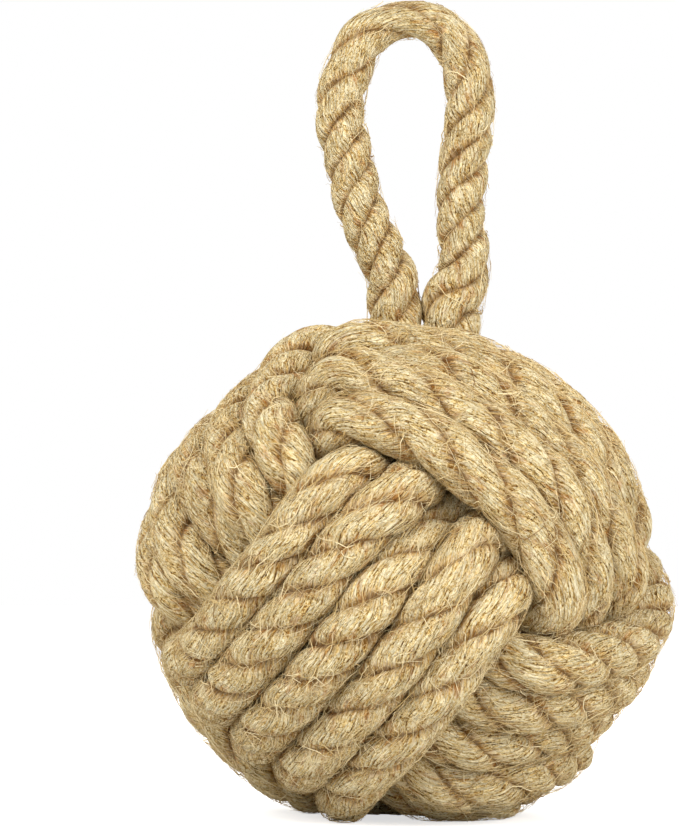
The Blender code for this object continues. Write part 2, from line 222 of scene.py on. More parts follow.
# For bulge, own, fine, streak, felt, under and fuzz: the value that leaves the tone as it
# is, the share in the tone and the share in the bump
MIXTURE = ((0.75, 0.42, 0.9), (0.5, 0.6, 0.4), (0.5, 1.7, 1.0), (0.5, 1.0, 0.8),
           (0.0, 0.28, 0.6), (0.0, -0.36, -0.4), (0.5, 2.2, 0.8))
TONE = 0.61
DRIFT_YARNS = 2.2  # how far it moves the yarns
CLEAR_EDGES = (0.34, 0.58)  # where single yarns begin to show, and do
YARN_ROUND = 2.2  # the power that rounds a yarn off to its sides
FELT_WIDTH, SHADE_THREAD_WIDTH = 0.05, 0.025
# Painted shade in the strands' grooves and the crevices, brown and then dark umber: where each
# begins in its pattern and is whole, its share, and its colour
RUST_PATCH, RUST_SPECK = (0.54, 0.67, 0.6), (0.63, 0.73, 0.45)
GROOVE_SHADES = ((0.55, 1.05, 0.50, SHADE_TAN), (0.85, 1.12, 0.60, SHADE_UMBER))
RUST_ON_CREST, RUST_TO_GROOVE = 0.55, 0.8
CREVICE_SHADE_SHARE = 1.02  # weight of the painted crevice shade, beside a groove's 1
SHADE_FINE, SHADE_SPREAD = 0.6, 1.3  # how they fray the painted shade's edge
JUTE_ROUGH, BULGE_SMOOTH = 0.95, 0.12
JUTE_BUMP = 0.8 * MM
# The concrete's patterns: scale, detail and roughness
CLOUDS, GRAIN, PITS = (38.0, 4.0, 0.6), (620.0, 3.0, 0.7), (210.0, 1.0, 0.5)

WORLD_LIGHT = 0.60
LAMPS = (("key_light", (-0.72, -1.0, 1.12), 0.8, 18.0),  # place, size and power
         ("fill_light", (0.95, -0.9, 0.55), 0.9, 11.0),
         ("back_light", (0.25, 0.95, 0.9), 0.8, 8.0))
FLOOR_LIFT = 0.66
FLOOR_SIZE = 12.0

# The photograph's frame and where the weight's middle lies in it
PICTURE = (679, 831)
MIDDLE_PIXEL = (403, 573)
PIXELS_PER_METRE = 3090.0
CAMERA_AWAY = 0.95

ROPE_RADIUS = ROPE_DIAMETER / 2
WEIGHT_RADIUS = WEIGHT_DIAMETER / 2
INNER_LAYER = WEIGHT_RADIUS + SEAT_GAP + ROPE_RADIUS
MIDDLE_LAYER = WEIGHT_RADIUS + ROPE_DIAMETER
OUTSIDE = WEIGHT_RADIUS + 2 * ROPE_DIAMETER
MIDDLE_HEIGHT = OUTSIDE + FOOT_DROP
FOOT_DEPTH = MIDDLE_HEIGHT + FOOT_SHARE * ROPE_DIAMETER
LEG_SPACING = ROPE_DIAMETER + LEG_GAP
ROOT_HEIGHT = OUTSIDE + ROOT_RISE
PIVOT_HEIGHT = ROOT_HEIGHT + SEAT_GAP + ROPE_RADIUS * DOME_SINE


def lengths(vectors):
    """The length of each vector."""
    return np.linalg.norm(vectors, axis=-1)


def square_axes(*directions):
    """The three directions turned as little as possible until they are square."""
    left, _, right = np.linalg.svd(np.array(directions))
    return left @ right


def winding(over, under, along, start, turns, first_side, last_side):
    """One set of turns, swollen: outside where it runs over, inside under."""
    count = int(round(turns * TURN_POINTS)) + 1
    angle = math.radians(start) + np.arange(count) * 2 * math.pi / TURN_POINTS
    side = np.linspace(first_side, last_side, count) * ROPE_DIAMETER / MIDDLE_LAYER
    radius = START_SWELL * (MIDDLE_LAYER + ROPE_RADIUS * np.cos(2 * angle))
    ring = radius * np.cos(side)
    return (np.outer(ring * np.cos(angle), over)
            + np.outer(ring * np.sin(angle), under)
            + np.outer(radius * np.sin(side), along))


def leg_root(side):
    """The straight top of a leg's root, one rope diameter long, top first."""
    across = LEGS_BESIDE_MIDDLE + side * LEG_SPACING / 2
    return np.array([(across, LEGS_BEHIND_MIDDLE, ROOT_HEIGHT - drop)
                     for drop in np.linspace(0, ROPE_DIAMETER, ROOT_POINTS)])


def starting_route():
    """The whole rope before it is drawn tight, and where its sets join."""
    left, top, front = square_axes(LEFT_FACE, TOP_FACE, FRONT_FACE)
    first = winding(left, front, top, FIRST_START, FIRST_TURNS, SET_SPREAD, -SET_SPREAD)
    second = winding(front, top, left, SECOND_START, SECOND_TURNS, SET_SPREAD, -FAR_SPREAD)
    third = winding(top, left, front, THIRD_START, THIRD_TURNS, SET_SPREAD, -FAR_SPREAD)
    near_root = leg_root(-1)
    far_root = leg_root(1)[::-1]
    route = np.concatenate([near_root, first, second, third, far_root])
    first_join = len(near_root) + len(first)
    return route, (first_join, first_join + len(second))


def nearest_shares(start_a, end_a, start_b, end_b):
    """How far along each of two straight pieces their nearest points lie."""
    run_a = end_a - start_a
    run_b = end_b - start_b
    apart = start_a - start_b
    aa = (run_a * run_a).sum(1)
    ab = (run_a * run_b).sum(1)
    bb = (run_b * run_b).sum(1)
    ad = (run_a * apart).sum(1)
    bd = (run_b * apart).sum(1)
    spread = aa * bb - ab * ab
    square = spread > PARALLEL * aa * bb
    share = np.where(square, (ab * bd - bb * ad) / np.where(square, spread, 1.0), 0.5)
    share_a = np.clip(share, 0, 1)
    share_b = np.clip((ab * share_a + bd) / bb, 0, 1)
    share_a = np.clip((ab * share_b - ad) / aa, 0, 1)
    return share_a, share_b


def near_pairs(route):
    """Pairs of the rope's straight pieces that could touch, neighbours left out."""
    step = lengths(np.diff(route, axis=0)).mean()
    skip = max(LEAST_SKIP, int(math.ceil(NEIGHBOUR_ROPES * ROPE_DIAMETER / step)))
    middle = (route[1:] + route[:-1]) / 2
    square = ((middle[:, None] - middle[None]) ** 2).sum(2)
    reach = PAIR_ROPES * ROPE_DIAMETER + PAIR_STEPS * step
    return np.nonzero(np.triu(square < reach * reach, skip))


def part_turns(route, free, one, other, least):
    """Push apart the pieces of rope that lie nearer than least, in place."""
    share, share_other = nearest_shares(route[one], route[one + 1], route[other], route[other + 1])
    point = route[one] + (route[one + 1] - route[one]) * share[:, None]
    point_other = route[other] + (route[other + 1] - route[other]) * share_other[:, None]
    line = point - point_other
    length = np.maximum(np.sqrt((line * line).sum(1)), LEAST)
    near = length < least
    one, other, share, share_other = one[near], other[near], share[near], share_other[near]
    line, length = line[near], length[near]
    weight = np.stack([(1 - share) * free[one], share * free[one + 1],
                       -(1 - share_other) * free[other], -share_other * free[other + 1]])
    reach = np.stack([1 - share, share, -(1 - share_other), -share_other])
    push = 0.5 * (least - length) / length / np.maximum((weight * reach).sum(0), LEAST)
    index = np.concatenate([one, one + 1, other, other + 1])
    for axis in range(3):
        amount = (weight * push * line[:, axis]).ravel()
        route[:, axis] += np.bincount(index, amount, len(route))


def seat_turns(route, free):
    """Push every piece of rope out of the weight, in place."""
    run = route[1:] - route[:-1]
    share = np.clip(-(route[:-1] * run).sum(1) / (run * run).sum(1), 0, 1)
    point = route[:-1] + run * share[:, None]
    radius = lengths(point)
    push = np.maximum(INNER_LAYER - radius, 0)[:, None] * point / radius[:, None]
    route[:-1] += push * (1 - share[:, None]) * free[:-1, None]
    route[1:] += push * share[:, None] * free[1:, None]


def ease_bends(route, free):
    """Open every bend that is sharper than the rope allows, in place."""
    before = route[1:-1] - route[:-2]
    after = route[2:] - route[1:-1]
    cosine = (before * after).sum(1) / (lengths(before) * lengths(after))
    sharp = np.clip(math.cos(SHARPEST_BEND) - cosine, 0, MOST_EASE)
    shift = ((route[:-2] + route[2:]) / 2 - route[1:-1]) * sharp[:, None]
    route[1:-1] += shift * free[1:-1, None]
    route[:-2] -= shift * 0.5 * free[:-2, None]
    route[2:] -= shift * 0.5 * free[2:, None]


def straighten(route, joins):
    """Bring the points beside each join into line with it, in place."""
    for join in joins:
        shift = (route[join - 1] + route[join + 1]) / 2 - route[join]
        route[join] += shift * 2 / 3
        route[join - 1] -= shift / 3
        route[join + 1] -= shift / 3


def settle(route, free, joins, steps, pulls, least, floor, press):
    """Draw the rope tight in small steps while it keeps off itself and the weight."""
    pull = np.linspace(pulls[0], pulls[1], steps)
    shell = WEIGHT_RADIUS + SHELL_ROPES * ROPE_DIAMETER
    inner = np.zeros(len(route), bool)
    inner[ROOT_POINTS + 1:-ROOT_POINTS - 1] = True
    for step in range(steps):
        if step % FIND_STEPS == 0:
            one, other = near_pairs(route)
        draw = (route[:-2] + route[2:]) / 2 - route[1:-1]
        route[1:-1] += pull[step] * draw * free[1:-1, None]
        ease_bends(route, free)
        radius = lengths(route)
        out = inner & (radius > shell)
        route[out] *= (1 - press * (radius[out] - shell) / radius[out])[:, None]
        for _ in range(PUSH_PASSES):
            part_turns(route, free, one, other, least)
            seat_turns(route, free)
            straighten(route, joins)
            if floor:
                under = (route[:, 2] < -floor) & (free > 0)
                route[under, 2] = -floor


def knot_route():
    """The rope's route through the tight knot, and where its sets join."""
    route, joins = starting_route()
    free = np.ones(len(route))
    ends = (slice(0, ROOT_POINTS), slice(-ROOT_POINTS, None))
    for end in ends:
        free[end] = 0
    roots = route.copy()
    touch = ROPE_DIAMETER + WORKING_GAP
    for stage in range(DRAW_STAGES):
        lift = (START_SWELL - 1) * (MIDDLE_LAYER + ROPE_DIAMETER) * (1 - (stage + 1) / DRAW_STAGES)
        for end in ends:
            route[end] = roots[end] + [0, 0, lift]
        settle(route, free, joins, STAGE_STEPS, DRAW_PULL, touch, 0, 0)
    floor = FOOT_DEPTH - ROPE_RADIUS
    settle(route, free, joins, EASE_STEPS, EASE_PULL, touch, floor, EASE_PRESS)
    clear = ROPE_DIAMETER + TURN_GAP + CLEAR_MARGIN
    settle(route, free, joins, CLEAR_STEPS, CLEAR_PULL, clear, floor, CLEAR_PRESS)
    settle(route, free, joins, PART_STEPS, PART_PULL, clear, floor, 0)
    return route, joins


def evenly(line, step):
    """The line read at even steps along it; columns past the third come along."""
    run = np.diff(line[:, :3], axis=0)
    length = np.concatenate([[0], np.cumsum(lengths(run))])
    even = np.linspace(0, length[-1], int(round(length[-1] / step)) + 1)
    return np.stack([np.interp(even, length, column) for column in line.T], 1)


def smooth_through(points, step, closed=False):
    """Evenly spaced points on a smooth curve through the given ones: a cubic between each
    two points, whose slopes there are half the way from the point before to the one after.
    A closed curve's last point is its first, and they share their slope."""
    points = np.array(points)
    before, after = 2 * points[:1] - points[1:2], 2 * points[-1:] - points[-2:-1]
    if closed:
        before, after = points[-2:-1], points[1:2]
    held = np.concatenate([before, points, after])
    share = np.linspace(0, 1, CURVE_SHARES, endpoint=False)[None, :, None]
    a, b, c, d = held[:-3, None], held[1:-2, None], held[2:-1, None], held[3:, None]
    bend = 2 * a - 5 * b + 4 * c - d + share * (3 * (b - c) + d - a)
    runs = b + 0.5 * share * (c - a + share * bend)
    return evenly(np.concatenate([runs.reshape(-1, points.shape[1]), points[-1:]]), step)


def soft_route(route):
    """The tight route in fine steps: kinks are evened out by taking away a share of the
    fourth difference, what reaches out too far is drawn in, and turns that press on each
    other are parted to their touch. Bulges at set angles round the outline come last."""
    line = smooth_through(route, FINE_STEP)
    free = np.ones(len(line))
    held = int(ROPE_DIAMETER / FINE_STEP) + 1
    free[:held] = 0
    free[-held:] = 0
    floor = FOOT_DEPTH - ROPE_RADIUS
    for step in range(SMOOTH_STEPS):
        if step % SOFT_FIND_STEPS == 0:
            one, other = near_pairs(line)
        second = line[:-2] + line[2:] - 2 * line[1:-1]
        fourth = second[:-2] + second[2:] - 2 * second[1:-1]
        line[2:-2] -= SMOOTH_SHARE * fourth * free[2:-2, None]
        radius = lengths(line)
        reach = ROUND_REACH - TOP_DROP * np.maximum(line @ TOP_WAY / radius, 0) ** TOP_FADE
        reach -= SHOULDER_DROP * np.maximum(line @ SHOULDER / radius, 0) ** SHOULDER_FADE
        over = np.maximum(radius - reach, 0) * free
        line *= (1 - DRAW_IN * over / radius)[:, None]
        for _ in range(SOFT_PASSES):
            part_turns(line, free, one, other, TOUCH)
            seat_turns(line, free)
            under = (line[:, 2] < -floor) & (free > 0)
            line[under, 2] = -floor
    radius = lengths(line)
    flat = np.hypot(line[:, 0], line[:, 2])
    swell = np.zeros(len(line))
    for degrees, rise in BULGES:
        angle = math.radians(degrees)
        share = (line[:, 0] * math.cos(angle) + line[:, 2] * math.sin(angle)) / flat
        swell += rise * np.maximum(share, 0) ** BULGE_SHARPNESS * (flat / radius) ** BULGE_DEPTH
    return line * (1 + free * swell / radius)[:, None]


def loop_line():
    """The loop from its right leg's pivot over the top to its left leg's."""
    flat = smooth_through([(LEFT_FOOT, 0.0), *HANDLE_ROUTE, (RIGHT_FOOT, 0.0)], FINE_STEP)[::-1]
    pivot = np.array([LEGS_BESIDE_MIDDLE, LEGS_BEHIND_MIDDLE, PIVOT_HEIGHT])
    return pivot + np.insert(flat, 1, 0.0, axis=1)


def whole_rope():
    """The rope's middle line about the weight's middle, from deep under its left leg
    through the knot, up the right leg, round the loop and down to where it began. A
    fourth column is 0 in the knot and 1 in the loop. Also the rings where pieces part."""
    route, joins = knot_route()
    knot = soft_route(route)
    deep = int(LEG_REACH / FINE_STEP)
    loop = loop_line()
    line = np.concatenate([knot[deep:], loop, knot[:deep + 1]])
    part = np.concatenate([np.zeros(len(knot) - deep), np.ones(len(loop)), np.zeros(deep + 1)])
    rope = smooth_through(np.column_stack([line, part]), RING_STEP, closed=True)
    marks = [*route[list(joins)], knot[-deep]]
    rings = [lengths(rope[:, :3] - mark).argmin() for mark in marks]
    return rope, [0, *rings, len(rope) - 1]


def chance_height(across, along, seed):
    """A height from 0 to 1 for two whole numbers: the fraction of a large sine."""
    sine = np.sin(across * RIPPLE_ACROSS + along * RIPPLE_ALONG + seed)
    return np.modf(np.abs(sine * RIPPLE_SINE))[0]


def ripple(across, along, seed):
    """Smooth random heights from -1 to 1: each whole pair of the two numbers has its own
    height, and heights are eased from one pair to the next."""
    left, low = np.floor(across), np.floor(along)
    right = (across - left) ** 2 * (3 - 2 * (across - left))
    high = (along - low) ** 2 * (3 - 2 * (along - low))
    corner = [[chance_height(left + i, low + j, seed) for i in (0, 1)] for j in (0, 1)]
    rows = [row[0] + (row[1] - row[0]) * right for row in corner]
    return 2 * (rows[0] + (rows[1] - rows[0]) * high) - 1


def carried_frame(line):
    """Two normals of the closed rope at every ring, carried along it untwisted."""
    way = np.gradient(line, axis=0)
    way[[0, -1]] = line[1] - line[-2]
    way /= lengths(way)[:, None]
    normal = np.empty_like(way)
    normal[0] = np.cross(way[0], way[0][[1, 2, 0]])
    for ring in range(len(line)):
        carried = normal[max(ring - 1, 0)]
        carried = carried - way[ring] * (carried @ way[ring])
        normal[ring] = carried / math.sqrt(carried @ carried)
    return normal, np.cross(way, normal)


def strand_section():
    """Shares across one strand, from -1 to 1, evenly spaced along its outline, and the
    outline's radius there: 1 at the crest, less by the square and the sixth power."""
    share = np.linspace(-1, 1, OUTLINE_POINTS)
    radius = 1 - CREST_FALL * share ** 2 - GROOVE_FALL * share ** 6
    angle = share * math.pi / STRANDS
    outline = np.stack([radius * np.cos(angle), radius * np.sin(angle)], 1)
    length = np.concatenate([[0], np.cumsum(lengths(np.diff(outline, axis=0)))])
    even = np.linspace(0, length[-1], STRAND_POINTS + 1)
    share = np.interp(even, length, share)
    radius = np.interp(even, length, radius)
    turn = np.arctan2(radius * np.sin(share * math.pi / STRANDS),
                      radius * np.cos(share * math.pi / STRANDS) - STRAND_MIDDLE)
    return share, radius, turn


class Rope:
    """The rope's whole surface as rings of points. A ring's point lies at the section's
    radius from the middle line, at an angle that grows with the lay along the rope. Its
    two pattern values count yarns across the strand and centimetres along the rope; a
    yarn keeps its value as it winds round its strand the other way."""

    def __init__(self, rope, middle):
        self.line = rope[:, :3]
        self.in_loop = rope[:, 3]
        self.middle = middle
        self.normal, self.side = carried_frame(self.line)
        along = np.arange(len(rope)) * RING_STEP
        self.along = along / CENTIMETRE
        pace = self.wind_strands(along)
        size = self.sizes()
        self.crest = size * CREST_SHARE
        self.form_strands(along, pace, size)
        out = (self.normal[:, None] * np.cos(self.angle)[..., None]
               + self.side[:, None] * np.sin(self.angle)[..., None])
        self.points = self.line[:, None] + out * self.reach[..., None]
        self.press()
        self.points += middle

    def wind_strands(self, along):
        """Find the angle by which the strands have turned at every ring, and give how fast
        they turn there. What they would turn at the closed rope's end past its start is
        taken away evenly all along it."""
        count = len(along)
        height = (self.line[:, 2] - PIVOT_HEIGHT) / (self.line[:, 2].max() - PIVOT_HEIGHT)
        opening = 1 + TOP_OPENING * np.clip(height, 0, 1) ** TOP_OPENING_FADE
        loose = 1 + LAY_DRIFT * ripple(np.zeros(count), along / LAY_DRIFT_RUN, DRIFT_SEED)
        band = self.line @ TOP_BAND / lengths(self.line)
        over_band = np.clip((band / np.linalg.norm(TOP_BAND) - BAND_EDGE) / BAND_FADE, 0, 1)
        loose = loose + BAND_OPENING * (1 - self.in_loop) * over_band
        ropes = LAY_IN_KNOT + (LAY_IN_LOOP * opening - LAY_IN_KNOT) * self.in_loop
        pace = 2 * math.pi / (ROPE_DIAMETER * ropes * loose)
        self.lay = np.cumsum(pace) * RING_STEP
        turned = math.atan2(self.normal[-1] @ self.side[0], self.normal[-1] @ self.normal[0])
        over = (self.lay[-1] - self.lay[0] + turned) % (2 * math.pi / STRANDS)
        self.lay -= over * np.linspace(0, 1, count)
        return pace

    def sizes(self):
        """The radius over the crests at every ring: less in the loop and least over its
        top, and a swell at the right leg's foot. Both fade as a bell does."""
        size = FULL_RADIUS + (LOOP_RADIUS - FULL_RADIUS) * self.in_loop
        foot = np.array([LEGS_BESIDE_MIDDLE + LEG_SPACING / 2, LEGS_BEHIND_MIDDLE,
                         PIVOT_HEIGHT - LEG_SWELL_DROP])
        near_foot = ((self.line - foot) ** 2).sum(1) / LEG_SWELL_REACH ** 2
        size = size + LEG_SWELL * np.exp(-near_foot)
        top = self.line[self.line[:, 2].argmax()]
        near_top = ((self.line - top) ** 2).sum(1) / TOP_THIN_REACH ** 2
        return size * (1 - TOP_THIN * np.exp(-near_top))

    def form_strands(self, along, pace, size):
        """Find every point's reach and angle, strand by strand: the section's radius with
        three ripples that fade towards the groove, and grooves that sway to either side.
        All are calm where the rope's end meets its start. Also the yarns and the groove."""
        none = np.zeros(len(along))
        rows = along[:, None]
        calm = np.clip(np.minimum(along, along[-1] - along) / CLOSING_REACH, 0, 1)[:, None]
        crest = 1 / (1 - STRAND_MIDDLE)
        wind = np.cumsum(crest * (pace + math.tan(YARN_LEAN) / ROPE_RADIUS)) * RING_STEP
        share, radius, turn = strand_section()
        full = 1 - share ** 2
        plain = 1 - (1 - radius) * (1 + LOOP_GROOVES * self.in_loop[:, None])
        rings, angles, yarns = [], [], []
        for strand in range(STRANDS):
            yarn = (turn[None] + wind[:, None]) * YARNS / (2 * math.pi) + strand * YARN_OFFSET
            swell = ripple(none, along / SWELL_RUN, strand * SWELL_SEED)[:, None]
            lump = ripple(yarn / LUMP_YARNS, rows / LUMP_RUN, strand * LUMP_SEED)
            cord = ripple(yarn / CORD_YARNS, rows / CORD_RUN, strand * CORD_SEED)
            rise = SWELL_RISE * swell + LUMP_RISE * lump + CORD_RISE * cord
            low, high = [
                SWAY_TURN * ripple(none, along / SWAY_RUN, SWAY_SEED + edge % STRANDS)[:, None]
                for edge in (strand, strand + 1)]
            angle = (self.lay[:, None] + (2 * strand + share) * math.pi / STRANDS
                     + calm * (low * (1 - share) + high * (1 + share)) / 2)
            rings.append((size[:, None] * (plain + calm * full * rise))[:, :-1])
            angles.append(angle[:, :-1])
            yarns.append(yarn)
        self.reach = np.concatenate(rings, 1)
        self.angle = np.concatenate(angles, 1)
        self.yarn = np.concatenate([yarn[:, :-1] for yarn in yarns], 1)
        self.next_yarn = np.concatenate([yarn[:, 1:] for yarn in yarns], 1)
        self.groove = np.tile(np.abs(share[:-1]), STRANDS)

    def press(self):
        """Flatten the rope where it presses on itself: what reaches past the plane half
        way between two middle lines is brought back to it. The floor flattens it too."""
        count = len(self.line)
        self.crevice_shade = np.zeros(self.reach.shape)
        skip = int(NEIGHBOUR_ROPES * ROPE_DIAMETER / RING_STEP)
        square = (self.line ** 2).sum(1)
        index = np.arange(count)
        found = []
        for first in range(0, count, PRESS_BLOCK):
            own = index[first:first + PRESS_BLOCK]
            away = square[own, None] + square[None] - 2 * self.line[own] @ self.line.T
            apart = np.abs(own[:, None] - index[None])
            away[(apart < skip) | (apart > count - skip)] = np.inf
            near = away < (2 * FULL_RADIUS) ** 2
            near[:, 1:-1] &= (away[:, 1:-1] <= away[:, :-2]) & (away[:, 1:-1] < away[:, 2:])
            rows, others = np.nonzero(near)
            found.append(np.stack([own[rows], others]))
        own, other = np.concatenate(found, 1)
        rank = np.arange(len(own)) - np.searchsorted(own, own)
        for turn in range(rank.max() + 1):
            i, j = own[rank == turn], other[rank == turn]
            line = self.line[j] - self.line[i]
            length = lengths(line)[:, None]
            line /= length
            height = ((self.points[i] - self.line[i][:, None]) * line[:, None]).sum(2)
            # how near each point lies to the crevice between two pressed turns, kept so the finish
            # can paint shade there
            near = np.exp(np.minimum(height - length / 2, 0) / CREVICE_SHADE_REACH)
            self.crevice_shade[i] = np.maximum(self.crevice_shade[i], near)
            over = np.maximum(height - length / 2 + PRESS_GAP, 0)
            self.points[i] -= over[:, :, None] * line[:, None]
        low = self.points[:, :, 2] + MIDDLE_HEIGHT
        eased = FLOOR_EASE * np.exp(np.minimum(low - FLOOR_EASE, 0) / FLOOR_EASE)
        self.points[:, :, 2] = np.where(low < FLOOR_EASE, eased, low) - MIDDLE_HEIGHT

    def piece(self, name, first, last, material):
        """The rope from one ring to another as a closed piece with flat ends."""
        rings = self.points[first:last + 1]
        count, across = rings.shape[:2]
        here = np.arange(across)
        there = (here + 1) % across
        quads = ring_quads(count, across)
        ends = count * across
        top = (count - 1) * across
        fans = np.concatenate([np.stack([there, here, np.full(across, ends)], 1),
                               np.stack([top + here, top + there, np.full(across, ends + 1)], 1)])
        points = np.concatenate([rings.reshape(-1, 3), self.line[[first, last]] + self.middle])
        corners = np.concatenate([quads, fans.ravel()])
        sizes = np.repeat([4, 3], [quads.size // 4, len(fans)])
        yarn = self.yarn[first:last + 1]
        after = self.next_yarn[first:last + 1]
        along = np.broadcast_to(self.along[first:last + 1, None], yarn.shape)
        pattern = np.stack([np.stack([yarn[:-1], after[:-1], after[1:], yarn[1:]], 2),
                            np.stack([along[:-1], along[:-1], along[1:], along[1:]], 2)], 3)
        pattern = np.concatenate([pattern.reshape(-1, 2), np.zeros((len(fans) * 3, 2))])
        mesh = mesh_of(name, points, corners, sizes)
        layer = mesh.uv_layers.new(name="yarns")
        layer.uv.foreach_set("vector", pattern.astype(np.float32).ravel())
        groove = np.tile(self.groove, (count, 1))
        for mark, value in (("groove", groove), ("crevice_shade", self.crevice_shade[first:last + 1])):
            keep_marks(mesh, mark, np.append(value.ravel(), [1, 1]))
        edges = np.empty(len(mesh.edges) * 2, np.int32)
        mesh.edges.foreach_get("vertices", edges)
        edges = edges.reshape(-1, 2)
        rim = ((edges < across) | ((edges >= top) & (edges < ends))).all(1)
        mesh.edges.foreach_set("use_edge_sharp", rim)
        return finished(name, mesh, material)

    def fibres(self, name, count, seed, choose, material):
        """Loose fibres that lie along the rope's skin and lift off at one end. A fibre
        is a thin three-sided tube, from a point on a ring, on at a slant across the
        strands, its height growing with the third power of the way along it."""
        draw = np.random.default_rng(seed)
        way = np.linspace(0, 1, FIBRE_POINTS)[None]
        ring = draw.integers(FIBRE_MARGIN, len(self.line) - FIBRE_MARGIN, count * FIBRE_TRIES)
        column = draw.integers(0, self.points.shape[1], count * FIBRE_TRIES)
        place = self.points[ring, column] - self.middle
        out = place - self.line[ring]
        out /= lengths(out)[:, None]
        good = np.nonzero(choose(self, ring, place, out))[0][:count]
        ring, column = ring[good, None], column[good, None]
        count = len(good)
        length = draw.gamma(FIBRE_SHAPE, FIBRE_SCALE, (count, 1))
        length = length.clip(FIBRE_SHORTEST, FIBRE_LONGEST)
        slant = draw.normal(*FIBRE_SLANT, (count, 1))
        curl = draw.normal(0, FIBRE_CURL, (count, 1))
        forth = np.where(draw.random((count, 1)) < 0.5, -1, 1)
        wander = np.cumsum(draw.normal(0, FIBRE_WANDER, (count, FIBRE_POINTS)), 1)
        heading = slant + curl * way + wander
        run = np.cumsum(np.cos(heading), 1) / FIBRE_POINTS * length * forth
        turn = np.cumsum(np.sin(heading), 1) / FIBRE_POINTS * length / FULL_RADIUS
        lift = draw.exponential(1.0, (count, 1)).clip(0, MOST_LIFT) * FIBRE_LIFT
        waver = draw.normal(0, FIBRE_WAVER, (count, FIBRE_POINTS)).clip(*WAVER_LIMITS)
        height = FIBRE_HEIGHT + lift * way ** 3 + waver
        height[:, 0] = FIBRE_ROOT
        rings = ring + run / RING_STEP
        spots = np.clip(rings.astype(int), 0, len(self.line) - 2)
        part = (rings - spots)[..., None]
        line, normal, side = (track[spots] * (1 - part) + track[spots + 1] * part
                              for track in (self.line, self.normal, self.side))
        angle = (self.angle[ring, column] + turn)[..., None]
        out = normal * np.cos(angle) + side * np.sin(angle)
        base = self.reach[ring, column]
        rise = base + (self.crest[spots] - base) * np.minimum(way * CREST_BY, 1) + height
        course = line + out * rise[..., None] + self.middle
        course[..., 2] = np.maximum(course[..., 2], FIBRE_FLOOR)
        thick = FIBRE_THIN + FIBRE_THICKER * draw.random((count, 1)) ** 4
        mesh = mesh_of(name, *tubes(course, out, thick * (1 - FIBRE_TAPER * way)))
        keep_marks(mesh, "shade", np.repeat(draw.random(count), FIBRE_POINTS * FIBRE_SIDES))
        return finished(name, mesh, material)


def ring_quads(count, across):
    """The corners of the quads between rings of points, one ring after the other."""
    here = np.arange(across)
    there = (here + 1) % across
    ring = np.arange(count - 1)[:, None] * across
    beyond = ring + across
    return np.stack([ring + here, ring + there, beyond + there, beyond + here], 2).ravel()


def tubes(course, out, thick):
    """A closed tube along each row of points, its sides' edges spaced evenly round the
    row from the one square to the way out: what mesh_of needs to make them."""
    tangent = np.gradient(course, axis=1)
    tangent /= lengths(tangent)[..., None] + LEAST_NORM
    first = np.cross(tangent, out)
    first /= lengths(first)[..., None] + LEAST_NORM
    second = np.cross(tangent, first)
    here = np.arange(FIBRE_SIDES)
    around = here * 2 * math.pi / FIBRE_SIDES
    edge = (first[:, :, None] * np.cos(around)[:, None]
            + second[:, :, None] * np.sin(around)[:, None])
    points = course[:, :, None] + thick[..., None, None] * edge
    count, rows = course.shape[:2]
    quads = ring_quads(rows, FIBRE_SIDES)
    ends = np.concatenate([here[::-1], (rows - 1) * FIBRE_SIDES + here])
    offset = np.arange(count)[:, None] * rows * FIBRE_SIDES
    corners = np.concatenate([(quads + offset).ravel(), (ends + offset).ravel()])
    sizes = np.repeat([4, FIBRE_SIDES], [count * quads.size // 4, count * 2])
    return points.reshape(-1, 3), corners, sizes


def mesh_of(name, points, corners, sizes):
    """A mesh from its points, the corners of its faces in a row and each face's size."""
    mesh = bpy.data.meshes.new(name)
    mesh.vertices.add(len(points))
    mesh.vertices.foreach_set("co", points.astype(np.float32).ravel())
    mesh.loops.add(len(corners))
    mesh.loops.foreach_set("vertex_index", corners.astype(np.int32))
    mesh.polygons.add(len(sizes))
    mesh.polygons.foreach_set("loop_start", (np.cumsum(sizes) - sizes).astype(np.int32))
    mesh.update(calc_edges=True)
    mesh.shade_smooth()
    return mesh


def keep_marks(mesh, name, values):
    """Keep a number on each of the mesh's points, for its finish to read."""
    marks = mesh.attributes.new(name, "FLOAT", "POINT")
    marks.data.foreach_set("value", values.astype(np.float32))


def placed(name, data):
    """A new object in the scene, at the origin."""
    item = bpy.data.objects.new(name, data)
    bpy.context.collection.objects.link(item)
    return item


def finished(name, mesh, material):
    """The mesh as an object with its finish."""
    mesh.materials.append(material)
    return placed(name, mesh)


class Value:
    """A number on its way through a material; sums and products add their nodes."""

    def __init__(self, finish, socket):
        self.finish = finish
        self.socket = socket

    def maths(self, operation, *values):
        return self.finish.node("Math", {"operation": operation}, dict(enumerate(values)))

    def __add__(self, other):
        return self.maths("ADD", self, other)

    def __sub__(self, other):
        return self.maths("SUBTRACT", self, other)

    def __rsub__(self, other):
        return self.maths("SUBTRACT", other, self)

    def __mul__(self, other):
        return self.maths("MULTIPLY", self, other)

    def __pow__(self, other):
        return self.maths("POWER", self, other)

    def __abs__(self):
        return self.maths("ABSOLUTE", self)

    __radd__ = __add__
    __rmul__ = __mul__


